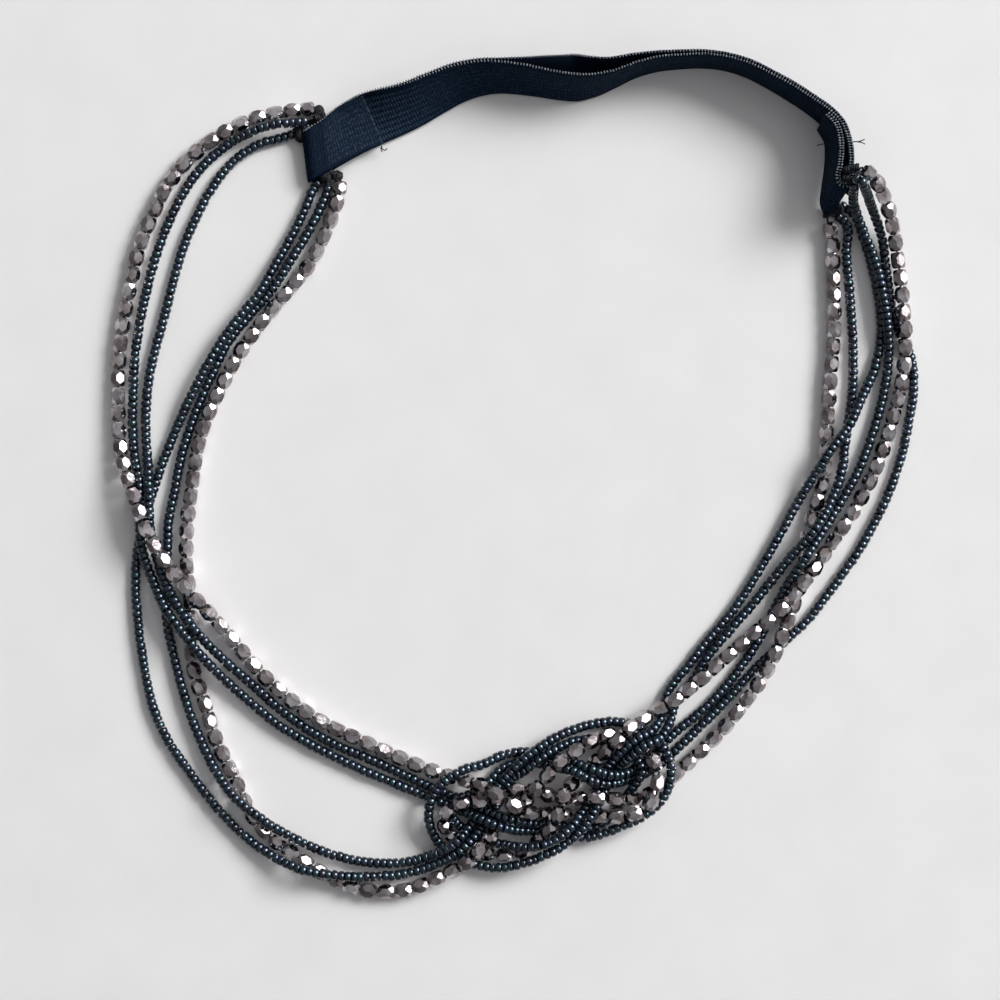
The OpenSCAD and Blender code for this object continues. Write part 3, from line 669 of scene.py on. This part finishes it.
def end_tab(first, step, count):
    """Stations of a tab that lies on the band from its end inward, open towards the end."""
    stations = []
    for k in range(count):
        station = band_station(first + step * k)
        opening = POCKET_H * math.cos(math.pi / 2 * k / (count - 1)) ** 2
        by = station[3] * (DOUBLED_T + SLIT + opening * (POCKET_H - SLIT) / POCKET_H)
        stations.append(moved(station, by, -station[3]))
    return stations


def elastic_stations():
    last = len(BAND_ROWS) - 1
    left, right = band_station(0), band_station(last)
    return (end_tab(0, 1, LEFT_TAB_ROWS)[::-1] + end_turn(left, -left[4], LEFT_SLEEVE)[::-1]
            + [band_station(k) for k in range(last + 1)]
            + end_turn(right, right[4]) + end_tab(last, -1, RIGHT_TAB_ROWS))


def fine_stations():
    """Fold, tips, side and across for every sample along the elastic, with the distance along it."""
    stations = elastic_stations()
    fold, tip_in, tip_out, side = (np.array([s[k] for s in stations]) for k in range(4))
    way = distances((fold + (tip_in + tip_out) / 2) / 2)
    count = int(way[-1] / RIB_PITCH) * RIB_SAMPLES
    at_way = np.linspace(0, way[-1], count + 1)
    fold, tip_in, tip_out, side = (smooth_open(v, way, at_way) for v in (fold, tip_in, tip_out, side))
    across = unit(tip_in + tip_out - 2 * fold)
    return fold + TO_MIDDLE, tip_in + TO_MIDDLE, tip_out + TO_MIDDLE, unit(side), across, at_way


def knit_relief(at_way, height):
    """Height of the knit's surface, and how much each place is the crown of a stitch, which gets a painted
    sheen.
    """
    row = height[None, :] * KNIT_ROWS
    lean = RIB_LEAN * (row - np.floor(row))
    rib = np.abs(np.sin(np.pi * (at_way[:, None] / RIB_PITCH + lean))) ** RIB_POWER
    stitch = np.abs(np.sin(np.pi * row)) ** ROW_POWER
    selvedge = np.clip((height[None, :] - SELVEDGE_FROM) / SELVEDGE_FADE, 0, 1)
    relief = rib * (stitch * (1 - selvedge) + selvedge)
    crown_sheen = rib ** RIB_CROWN * stitch ** ROW_CROWN * (1 - selvedge)
    return RIB_RELIEF * (relief - 0.5), crown_sheen


def end_faces(row, columns, middle, flip):
    """Triangles from the loop of one row of points to a middle point."""
    a = row * columns + np.arange(columns)
    b = row * columns + (np.arange(columns) + 1) % columns
    m = np.full(columns, middle)
    return np.stack([a, m, b] if flip else [b, m, a], 1)


def elastic_piece():
    """The knitted elastic, with one loop of points round its folded section for each sample along it."""
    fold, tip_in, tip_out, side, across, at_way = fine_stations()
    half = DOUBLED_T / 2
    face, inner = side * half, side * SLIT / 2
    crease = across * half
    parts, reliefs = [], []
    # The raw ends are slightly paler, and the painted sheen on the stitch crowns shows most where the knit
    # lies flat
    worn_left = np.clip(1.2 - at_way / LEFT_WORN, 0, 1)
    worn_right = np.clip(1 - (at_way[-1] - at_way) / RIGHT_WORN, 0, 1)
    worn = np.maximum(worn_left, worn_right)
    flat = np.clip((SHEEN_TO - at_way) / SHEEN_FADE, 0, 1)
    sheen_shown = SHEEN_LEAST + (1 - SHEEN_LEAST) * flat
    sheen_shown = sheen_shown * np.where(at_way < TAB_LENGTH, TAB_SHEEN, 1.0)
    # Painted shade: the folded left end gets no paler crowns
    sheen_shown[(at_way > SHADED_TURN[0]) & (at_way < SHADED_TURN[1])] = 0.0

    def wall_points(tip, base, height, outward):
        plain = tip[:, None] * height[None, :, None] + base[:, None] * (1 - height)[None, :, None]
        relief, crown_sheen = knit_relief(at_way, height)
        # Painted sheen on the stitch crowns, and the paler wear at the raw ends
        reliefs.append(PLAIN_SHADE + CROWN_SHEEN * crown_sheen * sheen_shown[:, None] + WORN_SHADE * worn[:, None])
        return plain + outward[:, None] * relief[..., None]

    # Down the inner layer's outside, round the fold, up the outer layer's outside
    wall = np.linspace(1, 0, WALL_STEPS)
    parts.append(wall_points(tip_in + face, fold + face + crease, wall, side))
    turn = np.linspace(0, np.pi, FOLD_STEPS + 2)[1:-1]
    parts.append((fold + crease)[:, None] + side[:, None] * (half * np.cos(turn))[None, :, None]
                 - across[:, None] * (half * np.sin(turn))[None, :, None])
    # Painted shade: the fold is darker than the plain knit
    reliefs.append(np.full((len(fold), FOLD_STEPS), SHADOWED_FOLD_SHADE))
    parts.append(wall_points(tip_out - face, fold - face + crease, wall[::-1], -side))
    # Round the outer selvedge, down the inside to the crease, up the inner layer's inside, round its edge
    rise = across * LAYER_T * SELVEDGE_RISE
    inside = np.linspace(0.99, 0.1, INSIDE_STEPS)[None, :, None]
    inside_back = inside[:, ::-1]
    deep = (fold + 2 * crease)[:, None]
    parts.append((tip_out - (face + inner) / 2 + rise)[:, None])
    parts.append((tip_out - inner)[:, None] * inside + deep * (1 - inside))
    parts.append(deep)
    parts.append((tip_in + inner)[:, None] * inside_back + deep * (1 - inside_back))
    parts.append((tip_in + (face + inner) / 2 + rise)[:, None])
    points = np.concatenate(parts, axis=1)
    rows, columns = points.shape[:2]
    shaded = sum(r.shape[1] for r in reliefs)
    # Painted shade: the inside between the two layers is darker
    reliefs.append(np.full((rows, columns - shaded), SHADOWED_INSIDE_SHADE))
    relief = np.append(np.concatenate(reliefs, axis=1).ravel(), [END_SHADE, END_SHADE])
    # The raw ends are closed by triangles to a point in the middle of the section
    middles = fold[[0, -1]] + crease[[0, -1]] * 1.5
    count = rows * columns
    ends = [end_faces(0, columns, count, False), end_faces(rows - 1, columns, count + 1, True)]
    quads = grid_faces(rows, columns, close_columns=True)
    faces = np.vstack([quads[:, [0, 1, 2]], quads[:, [0, 2, 3]]] + ends)
    all_points = np.vstack([points.reshape(-1, 3), middles])
    piece = mesh_piece("knitted_elastic", all_points, faces, knit, relief=relief)
    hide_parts("elastic_band")


def selvedge_loops():
    """Small loops of yarn that stand along both selvedges, one for each rib."""
    _, tip_in, tip_out, side, across, at_way = fine_stations()
    turn = np.linspace(0, np.pi, 5)
    parts = []
    for tip, way in ((tip_in, 1), (tip_out, -1)):
        middle = tip + side * way * (DOUBLED_T / 4 + SLIT / 4)
        along = unit(np.gradient(tip, axis=0))
        for k in range(RIB_SAMPLES // 2, len(at_way), RIB_SAMPLES):
            x, y, z = along[k], side[k] * way, across[k]
            centre = middle[k] + z * LOOP_RISE + rng.normal(0, LOOP_SPREAD, 3)
            arc = (centre + x * LOOP_SHIFT + np.outer(np.cos(turn) * LOOP_HALF_WIDTH, y)
                   + np.outer(np.sin(turn) * LOOP_HEIGHT, z))
            parts.append(sweep(arc, YARN_R, 7))
    points, faces = joined(parts)
    mesh_piece("selvedge_loops", points, faces, loops)


# Windings, lumps and loose ends

def bent_path(points, count):
    """A smooth open path through a few points."""
    points = np.asarray(points, float)
    way = distances(points)
    return smooth_open(points, way, np.linspace(0, way[-1], count))


def whipping(path):
    """Black thread wound round a stretch of bare thread, with its core."""
    way = distances(path)
    turns = way[-1] / WHIP_PITCH
    count = int(turns * WHIP_SAMPLES)
    share = np.linspace(0, 1, count)
    at_way = np.linspace(0, way[-1], count)
    middle = np.stack([np.interp(at_way, way, path[:, k]) for k in range(3)], 1)
    along = unit(np.gradient(middle, axis=0))
    side = unit(np.cross(along, UP + 0.01))
    up = np.cross(side, along)
    waver = WHIP_WAVER * np.sin(np.linspace(0, rng.uniform(*WHIP_WAVES), count))
    angle = 2 * math.pi * turns * share + waver
    swell = np.interp(share, np.linspace(0, 1, SWELL_PLACES), rng.uniform(*WHIP_SWELL, SWELL_PLACES))
    out = side * np.cos(angle)[:, None] + up * np.sin(angle)[:, None]
    coil = middle + out * (WHIP_R * swell)[:, None]
    coil_side = out - along * np.sum(out * along, 1)[:, None]
    return [sweep(coil, WHIP_THREAD_R, 6, coil_side), sweep(middle[::CORE_STEPS], WHIP_R * WHIP_CORE, 8)]


def whipped_ends():
    """Windings over the bare threads where each strand goes into the elastic."""
    parts = []
    for node in SEED_STRANDS + ("left_facet_thread", "right_facet_thread"):
        radii, curve, way, length = strand_curve(node)
        if node in SEED_STRANDS:
            bare = np.repeat(radii < BARE_SHARE * radii.max(), CURVE_STEPS)
            skip = reach_of(node)
        else:
            beads, _ = welded(node.replace("thread", "beads"))
            bare = np.array([np.min(np.sum((beads - p) ** 2, 1)) > BARE_FROM ** 2 for p in curve])
            skip = -WHIP_OVERLAP
        for begin, end in stretches(bare, way, length):
            if end - begin < 2 * WHIP_LENGTH:
                continue
            for first, direction in ((begin + skip, 1), (end - skip, -1)):
                wound = first + direction * np.linspace(0, WHIP_LENGTH, 12)
                parts += whipping(at(curve, way, wound, length))
    points, faces = joined(parts)
    mesh_piece("whipped_threads", points, faces, thread)


def thread_lumps():
    """Knotted thread over the places where strands are bound together; at the folded left end it also fills
    the shadow there as painted shade.
    """
    parts = []
    turn = np.linspace(0, 2 * math.pi, TURN_SAMPLES)[:, None]
    for middle, half, count in LUMPS:
        middle = np.array(middle)
        for _ in range(count):
            pole = unit(rng.normal(0, 1, 3))
            x = unit(np.cross(pole, rng.normal(0, 1, 3)))
            y = np.cross(pole, x)
            out = x[None] * np.cos(turn) + y[None] * np.sin(turn) + pole * rng.uniform(*TURN_TILT)
            ring = middle + out * np.array(half) * rng.uniform(*TURN_SIZE)
            parts.append(sweep(ring, THREAD_R, 5, np.tile(pole, (TURN_SAMPLES, 1))))
        body = middle + np.outer(np.linspace(-1, 1, 9), [half[0] * BODY_LENGTH, 0, 0])
        parts.append(sweep(body, min(half) * BODY_R, 10, np.tile([0.0, 1.0, 0.0], (9, 1))))
    points, faces = joined(parts)
    mesh_piece("thread_lumps", points, faces, thread)


def thread_tails():
    """Cut ends of sewing thread beside the seams."""
    points, faces = joined([sweep(bent_path(route, 18), TAIL_R) for route in TAILS])
    mesh_piece("thread_tails", points, faces, thread)


def frayed_edge():
    """Short hairs along the raw edge of the left tab."""
    fold, tip_in, tip_out, side, across, _ = fine_stations()
    away = unit(fold[0] - fold[2])
    parts = []
    for h in rng.uniform(0, 1, HAIR_COUNT):
        for tip, way in ((tip_in, 1), (tip_out, -1)):
            root = fold[0] * (1 - h) + tip[0] * h + side[0] * way * rng.uniform(*HAIR_PLACE)
            lean = away + across[0] * rng.normal(0, HAIR_LEAN_UP)
            lean = lean + side[0] * rng.normal(0, HAIR_LEAN_THROUGH)
            end = root + lean * rng.uniform(*HAIR_LENGTH)
            middle = (root + end) / 2 + rng.normal(0, HAIR_BEND, 3)
            parts.append(sweep(bent_path([root - away * HAIR_DEPTH, middle, end], 5), HAIR_R, 4))
    points, faces = joined(parts)
    mesh_piece("frayed_edge", points, faces, knit, relief=np.full(len(points), HAIR_SHADE))


for strand in SEED_STRANDS:
    seed_strand(strand)
elastic_piece()
selvedge_loops()
whipped_ends()
thread_lumps()
thread_tails()
frayed_edge()
for node, look in (("left_facet_beads", facets), ("right_facet_beads", facets),
                   ("left_facet_thread", thread), ("right_facet_thread", thread)):
    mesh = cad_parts[node].data
    mesh.materials.clear()
    mesh.materials.append(look)


# Floor, lights and camera

def floor_piece():
    half = FLOOR_HALF
    corners = [(-half, -half, 0), (half, -half, 0), (half, half, 0), (-half, half, 0)]
    mesh = bpy.data.meshes.new("floor")
    mesh.from_pydata(corners, [], [(0, 1, 2, 3)])
    mesh.materials.append(floor_material())
    floor = bpy.data.objects.new("floor", mesh)
    bpy.context.scene.collection.objects.link(floor)


def lamps():
    for name, (place, side, power, color, lights_dull) in LAMPS.items():
        light = bpy.data.lights.new(name, "AREA")
        light.shape = "RECTANGLE"
        light.size = light.size_y = side
        light.energy = power
        light.color = color
        lamp = bpy.data.objects.new(name, light)
        lamp.location = place
        lamp.rotation_euler = (Vector((0, 0, 0)) - Vector(place)).to_track_quat("-Z", "Y").to_euler()
        lamp.visible_diffuse = lights_dull
        bpy.context.scene.collection.objects.link(lamp)


def room():
    """A room that is brighter towards the window and darker away from it."""
    world = bpy.data.worlds.new("studio")
    world.use_nodes = True
    place = add(world, "ShaderNodeTexCoord")
    # From -0.5 away from the window to 0.5 towards it, and then from 0 to 1
    facing = add(world, "ShaderNodeVectorMath", operation="DOT_PRODUCT")
    facing.inputs[1].default_value = Vector(WINDOW_AT).normalized() / 2
    raised = add(world, "ShaderNodeMath", operation="ADD")
    raised.inputs[1].default_value = 0.5
    shades = add(world, "ShaderNodeValToRGB")
    set_shades(shades, ROOM_SHADES)
    link(world, place, "Generated", facing, 0)
    link(world, facing, "Value", raised, 0)
    link(world, raised, "Value", shades, "Fac")
    link(world, shades, "Color", world.node_tree.nodes["Background"], "Color")
    bpy.context.scene.world = world


floor_piece()
room()
lamps()
bpy.context.scene.view_settings.view_transform = "Standard"

camera_data = bpy.data.cameras.new("camera")
camera_data.sensor_fit = "HORIZONTAL"
camera_data.sensor_width = SENSOR_WIDTH
camera_data.lens = SENSOR_WIDTH * CAMERA_HEIGHT / VIEW_WIDTH
camera_data.clip_start = 0.01
camera_data.clip_end = 20
camera = bpy.data.objects.new("camera", camera_data)
camera.location = (CAMERA_XY[0] * MM, CAMERA_XY[1] * MM, CAMERA_HEIGHT * MM)
bpy.context.scene.collection.objects.link(camera)
bpy.context.scene.camera = camera
